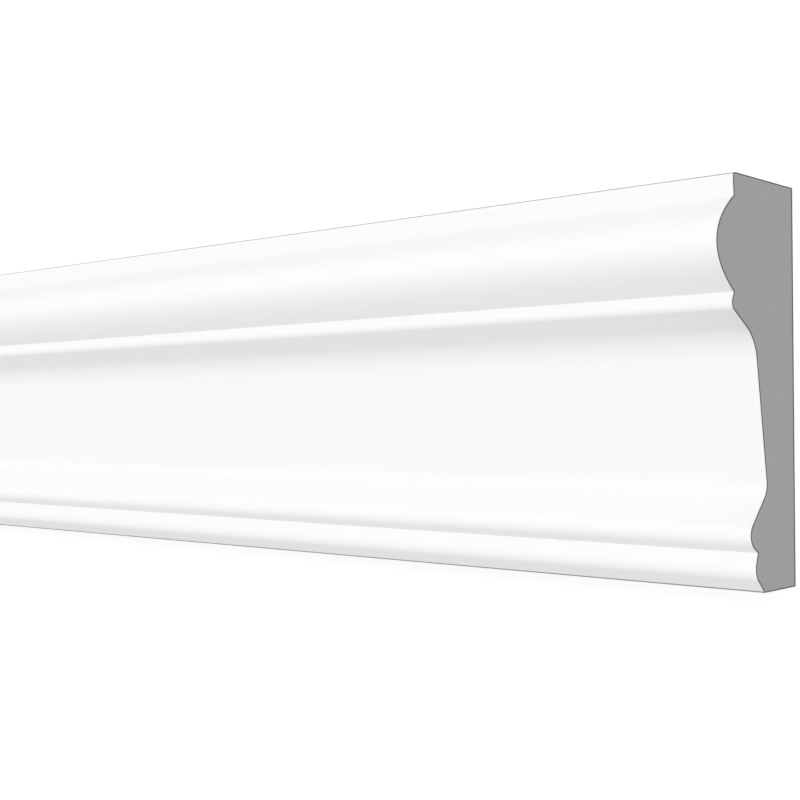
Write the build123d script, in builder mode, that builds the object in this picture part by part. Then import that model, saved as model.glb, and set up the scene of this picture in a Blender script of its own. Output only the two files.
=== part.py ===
from build123d import *
from math import sqrt
import os

# Casing moulding: one length of profiled trim that lies on its flat back with its moulded face up.
# X runs along the length, Y across the face towards the thick edge, and Z out from the back.
# The origin is at the middle of the back. All sizes are in millimetres.
# A width is measured along Y. A depth is measured back from the front, the plane that touches
# the nose of the large bead. A corner that gets a radius is given where its sides would meet.

# The whole length of stock
LENGTH = 2000.0
WIDTH = 100.0
THICKNESS = 38.8

# Narrow band along the thick edge, leaning back to its quirk
THICK_EDGE_DEPTH = 8.0
THICK_EDGE_RADIUS = 1.1
BAND_WIDTH = 5.5
BAND_QUIRK_DEPTH = 8.4

# Large bead, from the band's quirk to the nosing's quirk
LARGE_BEAD_WIDTH = 22.7
NOSING_QUIRK_DEPTH = 8.1

# Small rounded nosing beside the large bead
NOSING_WIDTH = 3.4
NOSING_DEPTH = 6.7
NOSING_RADIUS = 2.0

# Cove that falls from the nosing into the sloping flat
COVE_WIDTH = 7.2
COVE_DEPTH = 18.5
COVE_RADIUS = 10.7

# Valley at the foot of the sloping flat
VALLEY_DEPTH = 24.2
VALLEY_RADIUS = 4.9

# Small bead, which climbs from the valley and returns to a quirk
SMALL_BEAD_CLIMB_WIDTH = 11.1
SMALL_BEAD_DEPTH = 13.5
SMALL_BEAD_RADIUS = 3.6
SMALL_BEAD_RETURN_WIDTH = 3.7
SMALL_BEAD_QUIRK_DEPTH = 19.0

# Edge bead, which rises from its quirk, rounds over and falls to the thin edge
EDGE_BEAD_WIDTH = 9.8
EDGE_BEAD_FALL_WIDTH = 4.8
EDGE_BEAD_DEPTH = 17.3
EDGE_BEAD_RADIUS = 4.3
THIN_EDGE_DEPTH = 22.3


def section_point(across, depth):
    """A point of the cross-section, across from the thin edge and at a depth from the front."""
    return Vector(across - WIDTH / 2, THICKNESS - depth)


def bead(start, end):
    """A bead from start to end, a parabola whose nose touches the front.

    The parabola's control point is midway across. It stands above the front by the geometric mean
    of the two ends' depths, which is what makes the curve's top touch the front.
    """
    lift = sqrt((THICKNESS - start.Y) * (THICKNESS - end.Y))
    control = Vector((start.X + end.X) / 2, THICKNESS + lift)
    return Bezier(start, control, end)


# Features counted down from the thick edge
band_quirk_across = WIDTH - BAND_WIDTH
nosing_quirk_across = band_quirk_across - LARGE_BEAD_WIDTH
nosing_across = nosing_quirk_across - NOSING_WIDTH
cove_across = nosing_across - COVE_WIDTH

# Features counted up from the thin edge, so that the sloping flat takes up a change of width
small_bead_across = EDGE_BEAD_WIDTH + SMALL_BEAD_RETURN_WIDTH
valley_across = small_bead_across + SMALL_BEAD_CLIMB_WIDTH

# Corners of the cross-section, from the thick edge to the thin edge
thick_back = section_point(WIDTH, THICKNESS)
thick_corner = section_point(WIDTH, THICK_EDGE_DEPTH)
band_quirk = section_point(band_quirk_across, BAND_QUIRK_DEPTH)
nosing_quirk = section_point(nosing_quirk_across, NOSING_QUIRK_DEPTH)
nosing_corner = section_point(nosing_across, NOSING_DEPTH)
cove_corner = section_point(cove_across, COVE_DEPTH)
valley_corner = section_point(valley_across, VALLEY_DEPTH)
small_bead_corner = section_point(small_bead_across, SMALL_BEAD_DEPTH)
small_bead_quirk = section_point(EDGE_BEAD_WIDTH, SMALL_BEAD_QUIRK_DEPTH)
edge_bead_corner = section_point(EDGE_BEAD_FALL_WIDTH, EDGE_BEAD_DEPTH)
thin_corner = section_point(0, THIN_EDGE_DEPTH)
thin_back = section_point(0, THICKNESS)

rounded_corners = (
    (thick_corner, THICK_EDGE_RADIUS),
    (nosing_corner, NOSING_RADIUS),
    (cove_corner, COVE_RADIUS),
    (valley_corner, VALLEY_RADIUS),
    (small_bead_corner, SMALL_BEAD_RADIUS),
    (edge_bead_corner, EDGE_BEAD_RADIUS),
)

# The moulding: its cross-section carried straight along the length
with BuildPart() as moulding:
    with BuildSketch(Plane.YZ.offset(-LENGTH / 2)) as section:
        with BuildLine():
            Polyline(thin_corner, thin_back, thick_back, thick_corner, band_quirk)
            bead(band_quirk, nosing_quirk)
            Polyline(nosing_quirk, nosing_corner, cove_corner, valley_corner, small_bead_corner,
                     small_bead_quirk, edge_bead_corner, thin_corner)
        make_face()
        for corner, radius in rounded_corners:
            fillet(section.vertices().sort_by_distance(corner)[0], radius)
    extrude(amount=LENGTH)

moulding.part.label = "moulding"
os.makedirs("parts", exist_ok=True)
export_step(moulding.part, "parts/moulding.step")
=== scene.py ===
"""A length of white casing moulding that lies on its flat back, seen from above its sawn end.

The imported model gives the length, width, thickness and place. The moulded face is worked out again
here as a fine surface, because its beads and quirks are small beside the two-metre length.
X runs along the length, Y across the face towards the thick edge, and Z up from the floor.
"""
import math

import bpy
import numpy as np
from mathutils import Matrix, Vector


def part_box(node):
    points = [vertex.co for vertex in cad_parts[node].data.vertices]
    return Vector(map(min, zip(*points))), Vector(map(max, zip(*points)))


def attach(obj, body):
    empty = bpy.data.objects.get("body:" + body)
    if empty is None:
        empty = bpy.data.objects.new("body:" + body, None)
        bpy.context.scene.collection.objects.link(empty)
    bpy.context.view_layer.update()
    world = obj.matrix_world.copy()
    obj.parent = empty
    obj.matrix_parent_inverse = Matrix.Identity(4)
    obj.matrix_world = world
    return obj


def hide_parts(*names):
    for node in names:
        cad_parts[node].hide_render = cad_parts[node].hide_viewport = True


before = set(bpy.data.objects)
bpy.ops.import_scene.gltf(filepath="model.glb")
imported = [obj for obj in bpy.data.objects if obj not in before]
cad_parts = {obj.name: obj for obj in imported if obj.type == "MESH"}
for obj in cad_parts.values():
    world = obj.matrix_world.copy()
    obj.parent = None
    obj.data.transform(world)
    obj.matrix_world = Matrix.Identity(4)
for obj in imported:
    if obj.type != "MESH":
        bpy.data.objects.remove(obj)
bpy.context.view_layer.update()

MM = 0.001
NODE = "moulding"
LOW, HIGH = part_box(NODE)
WIDTH = (HIGH.y - LOW.y) / MM
THICKNESS = (HIGH.z - LOW.z) / MM

# Section of the moulding in millimetres: widths along Y, and depths back from the bead's nose.
# A corner that gets a radius is given where its sides would meet.
THICK_EDGE_DEPTH = 8.0
THICK_EDGE_RADIUS = 1.1
BAND_WIDTH = 5.5
BAND_QUIRK_DEPTH = 8.4
LARGE_BEAD_WIDTH = 22.7
NOSING_QUIRK_DEPTH = 8.1
NOSING_WIDTH = 3.4
NOSING_DEPTH = 6.7
NOSING_RADIUS = 2.0
COVE_WIDTH = 7.2
COVE_DEPTH = 18.5
COVE_RADIUS = 10.7
VALLEY_DEPTH = 24.2
VALLEY_RADIUS = 4.9
SMALL_BEAD_CLIMB_WIDTH = 11.1
SMALL_BEAD_DEPTH = 13.5
SMALL_BEAD_RADIUS = 3.6
SMALL_BEAD_RETURN_WIDTH = 3.7
SMALL_BEAD_QUIRK_DEPTH = 19.0
EDGE_BEAD_WIDTH = 9.8
EDGE_BEAD_FALL_WIDTH = 4.8
EDGE_BEAD_DEPTH = 17.3
EDGE_BEAD_RADIUS = 4.3
THIN_EDGE_DEPTH = 22.3

# How finely the surface is drawn, in millimetres
OUTLINE_STEP = 0.2
LENGTH_STEP = 100.0
CURVE_POINTS = 200

# Bare skin and painted shade, in millimetres and degrees: the foam's dense skin shows this far in round a
# sawn end, and where the coat is broken away along the saw cut. Along the thick edge's arris and the thin
# edge's, a grey line of painted shade fades out over these widths, where the rounded edges turn away. On a
# rounded arris that line leans this far over from straight up.
SKIN = 0.4
BACK_SKIN = 0.85
COAT_BROKEN = 0.15
ARRIS_SHADE_WIDTHS = (0.75, 0.52)
ARRIS_LEAN = 78.0
# The skin's grey, which also serves as the painted shade on the long arrises
SKIN_AND_ARRIS_SHADE_GREY = "#5c5c5c"
# Share from which the skin, and the painted shade on the long arrises, is full grey
SKIN_AND_SHADE_FULL_FROM = 0.5

# Camera, placed from the shown end, the thin edge and the floor, in millimetres and degrees
CAMERA_PAST_END = 150.87
CAMERA_ACROSS = 41.74
CAMERA_HEIGHT = 315.92
CAMERA_TILT = 0.698
CAMERA_TURN = 41.93
CAMERA_ROLL = -0.322
CAMERA_LENS = 60.25

# Studio light: a white sky, which dims over a fall below the horizon that is given in sines of the angle,
# and a soft key, its spread and leans in degrees. It leans from straight above to the thick edge, and,
# where the lean along is negative, to the shown end.
SKY_STRENGTH = 0.845
LOW_SKY_STRENGTH = 0.05
LOW_SKY_FALL = (-0.05, -0.17)
KEY_STRENGTH = 1.31
KEY_SPREAD = 20.0
KEY_LEAN_ACROSS = 20.0
KEY_LEAN_ALONG = -30.0

# Floor, in metres: a wide sheet that lies just clear of the moulding's back
FLOOR_GLOW = 0.75
FLOOR_SIZE = 60.0
FLOOR_GAP = 0.2 * MM

# Sockets of a Mix node that blends colours: the two colours and the result
MIX_FIRST, MIX_SECOND, MIX_RESULT = 6, 7, 2


def unit(vector):
    """The same direction with a length of one."""
    return vector / np.linalg.norm(vector)


def section_point(across, depth):
    """Section point (y, z) in metres, across from the thin edge and at a depth from the front."""
    return np.array([LOW.y + across * MM, HIGH.z - depth * MM])


def rounded(before, corner, after, radius):
    """Arc that rounds a corner, as an array of points.

    With h half the angle between the sides, the arc starts and ends radius / tan(h) from the corner,
    and its centre lies on the bisector, radius / sin(h) from the corner. Between the two spokes from
    the centre, the points are their blend by sines, which keeps every spoke the same length.
    """
    radius = radius * MM
    first_side, last_side = unit(before - corner), unit(after - corner)
    half = np.arccos(first_side @ last_side) / 2
    centre = corner + unit(first_side + last_side) * radius / np.sin(half)
    first_spoke = corner + first_side * radius / np.tan(half) - centre
    last_spoke = corner + last_side * radius / np.tan(half) - centre
    sweep = np.pi - 2 * half
    t = np.linspace(0, 1, CURVE_POINTS)[:, None]
    blend = np.sin((1 - t) * sweep) * first_spoke + np.sin(t * sweep) * last_spoke
    return centre + blend / np.sin(sweep)


def bead(start, end):
    """Parabola from start to end whose top touches the front, as an array of points.

    It is (1 - t)^2 start + 2 t (1 - t) control + t^2 end. The control point is midway across, and above
    the front by the geometric mean of the two ends' depths.
    """
    lift = np.sqrt((HIGH.z - start[1]) * (HIGH.z - end[1]))
    control = np.array([(start[0] + end[0]) / 2, HIGH.z + lift])
    t = np.linspace(0, 1, CURVE_POINTS)[:, None]
    return (1 - t) ** 2 * start + 2 * t * (1 - t) * control + t ** 2 * end


def evenly_spaced(points):
    """The same line, its points at equal steps of about OUTLINE_STEP along it."""
    steps = np.linalg.norm(np.diff(points, axis=0), axis=1)
    along = np.concatenate([[0], np.cumsum(steps)])
    count = int(np.ceil(along[-1] / (OUTLINE_STEP * MM))) + 1
    at = np.linspace(0, along[-1], count)
    return np.column_stack([np.interp(at, along, points[:, 0]), np.interp(at, along, points[:, 1])])


def face_stretches():
    """The moulded face as smooth stretches that meet at sharp corners, from the thick edge to the thin."""
    band_quirk_across = WIDTH - BAND_WIDTH
    nosing_quirk_across = band_quirk_across - LARGE_BEAD_WIDTH
    nosing_across = nosing_quirk_across - NOSING_WIDTH
    small_bead_across = EDGE_BEAD_WIDTH + SMALL_BEAD_RETURN_WIDTH

    thick_back = section_point(WIDTH, THICKNESS)
    thick_corner = section_point(WIDTH, THICK_EDGE_DEPTH)
    band_quirk = section_point(band_quirk_across, BAND_QUIRK_DEPTH)
    nosing_quirk = section_point(nosing_quirk_across, NOSING_QUIRK_DEPTH)
    nosing = section_point(nosing_across, NOSING_DEPTH)
    cove = section_point(nosing_across - COVE_WIDTH, COVE_DEPTH)
    valley = section_point(small_bead_across + SMALL_BEAD_CLIMB_WIDTH, VALLEY_DEPTH)
    small_bead = section_point(small_bead_across, SMALL_BEAD_DEPTH)
    small_bead_quirk = section_point(EDGE_BEAD_WIDTH, SMALL_BEAD_QUIRK_DEPTH)
    edge_bead = section_point(EDGE_BEAD_FALL_WIDTH, EDGE_BEAD_DEPTH)
    thin_corner = section_point(0, THIN_EDGE_DEPTH)

    band = np.vstack([rounded(thick_back, thick_corner, band_quirk, THICK_EDGE_RADIUS), band_quirk])
    nosing_to_small_bead = np.vstack([
        nosing_quirk,
        rounded(nosing_quirk, nosing, cove, NOSING_RADIUS),
        rounded(nosing, cove, valley, COVE_RADIUS),
        rounded(cove, valley, small_bead, VALLEY_RADIUS),
        rounded(valley, small_bead, small_bead_quirk, SMALL_BEAD_RADIUS),
        small_bead_quirk,
    ])
    edge_bead_to_thin_edge = np.vstack([
        small_bead_quirk,
        rounded(small_bead_quirk, edge_bead, thin_corner, EDGE_BEAD_RADIUS),
        thin_corner,
    ])
    return [band, bead(band_quirk, nosing_quirk), nosing_to_small_bead, edge_bead_to_thin_edge]


def inward_offsets(outline):
    """For each outline point, the step inwards that moves both of its sides in by one.

    It is the sum of the two sides' inward normals over one plus their dot product.
    """
    side = np.roll(outline, -1, axis=0) - outline
    side /= np.linalg.norm(side, axis=1)[:, None]
    normal = np.column_stack([-side[:, 1], side[:, 0]])
    normal_before = np.roll(normal, 1, axis=0)
    dot = np.sum(normal * normal_before, axis=1)[:, None]
    return (normal + normal_before) / (1 + dot)


def arris_shade_share(outline):
    """Share of painted shade at each outline point: one on a long arris, nought a little way off.

    The two arrises are the points that stand furthest out along directions that lean from the face's
    front by ARRIS_LEAN, to either edge. The share falls in a straight line with the distance from them.
    """
    lean = np.radians([ARRIS_LEAN, -ARRIS_LEAN])
    arrises = outline[np.argmax(outline @ [np.sin(lean), np.cos(lean)], axis=0)]
    distance = np.linalg.norm(outline[:, None] - arrises, axis=2) / MM
    return np.clip(1 - distance / ARRIS_SHADE_WIDTHS, 0, 1).max(axis=1)


def moulding_surface():
    """The section carried along the length, turned in by the skin's thickness and closed at both ends.

    Round the section, the points over the face come first and then as many along the back, evenly
    spaced. Each of the two rows of points starts on an edge, just below the painted shade on that edge's
    arris.
    Row by row the point is (x, outline), with x going from one end to the other and a row close to each
    end where the broken coat stops. One more row at each end repeats x at (x, outline + inset), where the
    inset is the skin's thickness inwards, and strips from that row's face to its back close the end.
    """
    stretches = [evenly_spaced(s) for s in face_stretches()]
    thick_edge_top, thin_edge_top = stretches[0][0], stretches[-1][-1]
    below = np.array([0, max(ARRIS_SHADE_WIDTHS) * MM])
    face = np.vstack([thick_edge_top - below, *[s[:-1] for s in stretches], thin_edge_top])
    across = len(face)
    back = np.column_stack([np.linspace(LOW.y, HIGH.y, across - 1), np.full(across - 1, LOW.z)])
    outline = np.vstack([face, thin_edge_top - below, back])
    around = len(outline)
    quirks_and_thin_edge = 1 + np.cumsum([len(s) - 1 for s in stretches])
    sharp_points = [*quirks_and_thin_edge, across + 1, around - 1]

    # Along the back the inset is deeper, and it leans in evenly to meet the edges' insets at the corners
    inset = SKIN * inward_offsets(outline)
    inset[across + 1:, 0] = np.linspace(SKIN, -SKIN, across - 1)
    inset[across + 1:, 1] = BACK_SKIN

    whole_coat = LOW.x + COAT_BROKEN * MM, HIGH.x - COAT_BROKEN * MM
    steps = int(np.ceil((whole_coat[1] - whole_coat[0]) / (LENGTH_STEP * MM)))
    x = np.concatenate([[LOW.x, LOW.x], np.linspace(*whole_coat, steps + 1), [HIGH.x, HIGH.x]])
    rows = len(x)
    yz = np.tile(outline, (rows, 1, 1))
    yz[[0, -1]] += inset * MM
    xs = np.broadcast_to(x[:, None, None], (rows, around, 1))
    vertices = np.concatenate([xs, yz], axis=2).reshape(-1, 3)

    index = np.arange(rows * around).reshape(rows, around)
    following = np.roll(index, -1, axis=1)
    quads = np.stack([index[:-1], following[:-1], following[1:], index[1:]], axis=2).reshape(-1, 4)
    end_face, end_back = index[[0, -1], :across], index[[0, -1], :across - 1:-1]
    strips = np.stack([end_face[:, :-1], end_face[:, 1:], end_back[:, 1:], end_back[:, :-1]], axis=2)
    ends = np.concatenate([strips[0][:, [0, 3, 2, 1]], strips[1]])

    mesh = bpy.data.meshes.new("moulding_surface")
    mesh.from_pydata(vertices, [], np.concatenate([quads, ends]))
    mesh.update()

    # The skin's turned-in strips and the closing strips are the sawn ends
    row_of_quad = np.repeat(np.arange(rows - 1), around)
    sawn = np.concatenate([np.isin(row_of_quad, [0, rows - 2]), np.ones(len(ends), bool)])
    mesh.polygons.foreach_set("material_index", sawn.astype(np.int32))
    mesh.polygons.foreach_set("use_smooth", np.ones(len(sawn), bool))

    # Quirks and arrises stay sharp, along the length and round the ends
    arris_rows = [1, rows - 2]
    edges = np.zeros(len(mesh.edges) * 2, np.int32)
    mesh.edges.foreach_get("vertices", edges)
    edge_row, edge_point = np.divmod(edges.reshape(-1, 2), around)
    lengthwise = (edge_point[:, 0] == edge_point[:, 1]) & np.isin(edge_point[:, 0], sharp_points)
    round_an_end = (edge_row[:, 0] == edge_row[:, 1]) & np.isin(edge_row[:, 0], arris_rows)
    sharp = mesh.attributes.new("sharp_edge", "BOOLEAN", "EDGE")
    sharp.data.foreach_set("value", lengthwise | round_an_end)

    # Grey on the long arrises as painted shade and round the ends as bare skin; the foam inside the ends
    # has none
    skin = np.tile(arris_shade_share(outline), (rows, 1))
    skin[arris_rows] = 1
    skin[[0, -1]] = 0
    attribute = mesh.attributes.new("skin", "FLOAT", "POINT")
    attribute.data.foreach_set("value", skin.ravel().astype(np.float32))
    return mesh


def linear(hex_colour):
    """sRGB hex to linear red, green, blue and alpha."""
    srgb = np.array([int(hex_colour[i:i + 2], 16) for i in (1, 3, 5)]) / 255
    low, high = srgb / 12.92, ((srgb + 0.055) / 1.055) ** 2.4
    return (*np.where(srgb <= 0.04045, low, high).tolist(), 1.0)


def add_node(tree, kind, inputs=None, **settings):
    """Adds a node. An input takes a value, or another node's output to link."""
    node = tree.nodes.new(kind)
    for name, value in settings.items():
        setattr(node, name, value)
    for socket, value in (inputs or {}).items():
        if isinstance(value, bpy.types.NodeSocket):
            tree.links.new(value, node.inputs[socket])
        else:
            node.inputs[socket].default_value = value
    return node


def empty_material(name):
    """A new material that has no nodes yet, and its node tree."""
    material = bpy.data.materials.new(name)
    material.use_nodes = True
    material.node_tree.nodes.clear()
    return material, material.node_tree


def sprayed_white_coat():
    """Matt white acrylic coat, sprayed on the face and dried smooth.

    To the eye it is an even, neutral white with no gloss. Round the sawn ends the foam's skin shows as a
    fine grey line, and along the long arrises a like grey line is painted shade. Close up it has faint
    orange peel, patches where the spray lies a little thicker, and faint lines along the length, where the
    foam was drawn through its die.
    """
    peel_size = 1.6 * MM
    peel_depth = 0.01 * MM
    die_line_spacing = 0.9 * MM
    die_line_depth = 0.004 * MM
    die_line_stretch = 300.0
    patch_size = 12.0 * MM

    material, tree = empty_material("acrylic_coat_sprayed_matt_white")
    place = add_node(tree, "ShaderNodeTexCoord").outputs["Object"]
    drawn_out = add_node(tree, "ShaderNodeMapping", {
        "Vector": place,
        "Scale": (1 / die_line_stretch, 1.0, 1.0),
    }).outputs["Vector"]
    die_lines = add_node(tree, "ShaderNodeTexNoise", {
        "Vector": drawn_out,
        "Scale": 1 / die_line_spacing,
        "Detail": 2.0,
    }).outputs["Fac"]
    peel = add_node(tree, "ShaderNodeTexNoise", {
        "Vector": place,
        "Scale": 1 / peel_size,
        "Detail": 1.0,
    }).outputs["Fac"]
    patches = add_node(tree, "ShaderNodeTexNoise", {
        "Vector": place,
        "Scale": 1 / patch_size,
        "Detail": 3.0,
    }).outputs["Fac"]
    lined_coat = add_node(tree, "ShaderNodeMix", {
        "Factor": die_lines,
        MIX_FIRST: linear("#e7e7e7"),
        MIX_SECOND: linear("#eaeaea"),
    }, data_type="RGBA").outputs[MIX_RESULT]
    coat = add_node(tree, "ShaderNodeMix", {
        "Factor": patches,
        MIX_FIRST: lined_coat,
        MIX_SECOND: linear("#eaeaea"),
    }, data_type="RGBA").outputs[MIX_RESULT]
    # Grey where the skin is bare round the ends, and painted shade on the long arrises
    skin = add_node(tree, "ShaderNodeMapRange", {
        "Value": add_node(tree, "ShaderNodeAttribute", attribute_name="skin").outputs["Fac"],
        "From Max": SKIN_AND_SHADE_FULL_FROM,
    }).outputs["Result"]
    colour = add_node(tree, "ShaderNodeMix", {
        "Factor": skin,
        MIX_FIRST: coat,
        MIX_SECOND: linear(SKIN_AND_ARRIS_SHADE_GREY),
    }, data_type="RGBA").outputs[MIX_RESULT]
    roughness = add_node(tree, "ShaderNodeMapRange", {
        "Value": peel,
        "To Min": 0.5,
        "To Max": 0.6,
    }).outputs["Result"]
    lines_bump = add_node(tree, "ShaderNodeBump", {
        "Height": die_lines,
        "Distance": die_line_depth,
    }).outputs["Normal"]
    bump = add_node(tree, "ShaderNodeBump", {
        "Height": peel,
        "Distance": peel_depth,
        "Normal": lines_bump,
    }).outputs["Normal"]
    shader = add_node(tree, "ShaderNodeBsdfPrincipled", {
        "Base Color": colour,
        "Roughness": roughness,
        "IOR": 1.48,
        "Normal": bump,
    }).outputs["BSDF"]
    add_node(tree, "ShaderNodeOutputMaterial", {"Surface": shader})
    return material


def sawn_grey_foam():
    """Rigid polymer foam, cut square with a fine-toothed saw.

    To the eye it is a flat mid grey, dead matt. Close up it has the speckle of cut cells, faint arcs
    from the saw's teeth, and a thin darker line round it where the foam's skin is dense. Cells of
    about 0.2 mm are too fine to show, so they are drawn three times as coarse.
    """
    cell_size = 0.6 * MM
    cell_depth = 0.05 * MM
    tooth_spacing = 1.5 * MM
    saw_centre = (0.0, -120.0 * MM, 60.0 * MM)

    material, tree = empty_material("polymer_foam_sawn_grey")
    place = add_node(tree, "ShaderNodeTexCoord").outputs["Object"]
    cells = add_node(tree, "ShaderNodeTexVoronoi", {
        "Vector": place,
        "Scale": 1 / cell_size,
    }).outputs["Distance"]
    from_saw = add_node(tree, "ShaderNodeMapping", {
        "Vector": place,
        "Location": saw_centre,
    }, vector_type="TEXTURE").outputs["Vector"]
    arcs = add_node(tree, "ShaderNodeTexWave", {
        "Vector": from_saw,
        "Scale": math.pi / 10 / tooth_spacing,
        "Distortion": 1.5,
        "Detail": 2.0,
    }, wave_type="RINGS", rings_direction="X").outputs["Fac"]
    cut = add_node(tree, "ShaderNodeMix", {
        "Factor": cells,
        MIX_FIRST: linear("#b1b1b1"),
        MIX_SECOND: linear("#b9b9b9"),
    }, data_type="RGBA").outputs[MIX_RESULT]
    marked = add_node(tree, "ShaderNodeMix", {
        "Factor": arcs,
        MIX_FIRST: cut,
        MIX_SECOND: linear("#b5b5b5"),
    }, data_type="RGBA").outputs[MIX_RESULT]
    skin = add_node(tree, "ShaderNodeMapRange", {
        "Value": add_node(tree, "ShaderNodeAttribute", attribute_name="skin").outputs["Fac"],
        "From Max": SKIN_AND_SHADE_FULL_FROM,
    }).outputs["Result"]
    colour = add_node(tree, "ShaderNodeMix", {
        "Factor": skin,
        MIX_FIRST: marked,
        MIX_SECOND: linear(SKIN_AND_ARRIS_SHADE_GREY),
    }, data_type="RGBA").outputs[MIX_RESULT]
    bump = add_node(tree, "ShaderNodeBump", {
        "Height": cells,
        "Distance": cell_depth,
    }).outputs["Normal"]
    shader = add_node(tree, "ShaderNodeBsdfPrincipled", {
        "Base Color": colour,
        "Roughness": 0.9,
        "IOR": 1.5,
        "Specular IOR Level": 0.2,
        "Normal": bump,
    }).outputs["BSDF"]
    add_node(tree, "ShaderNodeOutputMaterial", {"Surface": shader})
    return material


def studio_floor():
    """A plain light table just under the moulding's back, so that the shadows on it stay faint.

    To the eye it is an even white. It is opal acrylic, cast smooth and lit from below, and its own
    light is much stronger than what it scatters back.
    """
    cloud_size = 1000.0 / 3 * MM

    material, tree = empty_material("opal_acrylic_cast_lit_from_below")
    place = add_node(tree, "ShaderNodeTexCoord").outputs["Object"]
    tone = add_node(tree, "ShaderNodeTexNoise", {
        "Vector": place,
        "Scale": 1 / cloud_size,
    }).outputs["Fac"]
    colour = add_node(tree, "ShaderNodeMix", {
        "Factor": tone,
        MIX_FIRST: linear("#959595"),
        MIX_SECOND: linear("#999999"),
    }, data_type="RGBA").outputs[MIX_RESULT]
    shader = add_node(tree, "ShaderNodeBsdfPrincipled", {
        "Base Color": colour,
        "Roughness": 1.0,
        "Specular IOR Level": 0.0,
        "Emission Color": linear("#ffffff"),
        "Emission Strength": FLOOR_GLOW,
    }).outputs["BSDF"]
    add_node(tree, "ShaderNodeOutputMaterial", {"Surface": shader})

    half = FLOOR_SIZE / 2
    corners = np.array([[-half, -half], [half, -half], [half, half], [-half, half]])
    mesh = bpy.data.meshes.new("floor")
    mesh.from_pydata(np.column_stack([corners, np.full(4, LOW.z - FLOOR_GAP)]), [], [[0, 1, 2, 3]])
    mesh.materials.append(material)
    return mesh


def studio_sky():
    """An even white sky all round, down to just below the horizon, where it fades to a dim one."""
    sky = bpy.data.worlds.new("studio")
    sky.use_nodes = True
    tree = sky.node_tree
    tree.nodes.clear()
    direction = add_node(tree, "ShaderNodeTexCoord").outputs["Generated"]
    height = add_node(tree, "ShaderNodeSeparateXYZ", {"Vector": direction}).outputs["Z"]
    strength = add_node(tree, "ShaderNodeMapRange", {
        "Value": height,
        "From Min": LOW_SKY_FALL[0],
        "From Max": LOW_SKY_FALL[1],
        "To Min": SKY_STRENGTH,
        "To Max": LOW_SKY_STRENGTH,
    }).outputs["Result"]
    light = add_node(tree, "ShaderNodeBackground", {
        "Color": linear("#ffffff"),
        "Strength": strength,
    }).outputs["Background"]
    add_node(tree, "ShaderNodeOutputWorld", {"Surface": light})
    return sky


def add_object(name, data):
    """Puts a mesh, light or camera into the scene, at the origin."""
    made = bpy.data.objects.new(name, data)
    bpy.context.scene.collection.objects.link(made)
    return made


# The moulding
surface = moulding_surface()
surface.materials.append(sprayed_white_coat())
surface.materials.append(sawn_grey_foam())
moulding = add_object("coated_moulding", surface)
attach(moulding, "root")
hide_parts(NODE)

# Floor, lit apart from the moulding, so that its glow stays off the moulding's lower sides
floor = add_object("floor", studio_floor())
floor.visible_diffuse = False
floor.visible_shadow = False

# Soft light, the key leaning from the thick edge so that the sides that face the thin edge go grey
bpy.context.scene.world = studio_sky()

key_light = bpy.data.lights.new("key", "SUN")
key_light.energy = KEY_STRENGTH
key_light.angle = math.radians(KEY_SPREAD)
key = add_object("key", key_light)
key.rotation_euler = np.radians((-KEY_LEAN_ACROSS, -KEY_LEAN_ALONG, 0.0))

# Camera
lens = bpy.data.cameras.new("camera")
lens.lens = CAMERA_LENS
lens.clip_start = MM
camera = add_object("camera", lens)
camera.location = (
    HIGH.x + CAMERA_PAST_END * MM,
    LOW.y + CAMERA_ACROSS * MM,
    LOW.z + CAMERA_HEIGHT * MM,
)
camera.rotation_euler = np.radians((CAMERA_TILT, CAMERA_TURN, CAMERA_ROLL))
bpy.context.scene.camera = camera
bpy.context.scene.view_settings.view_transform = "Standard"
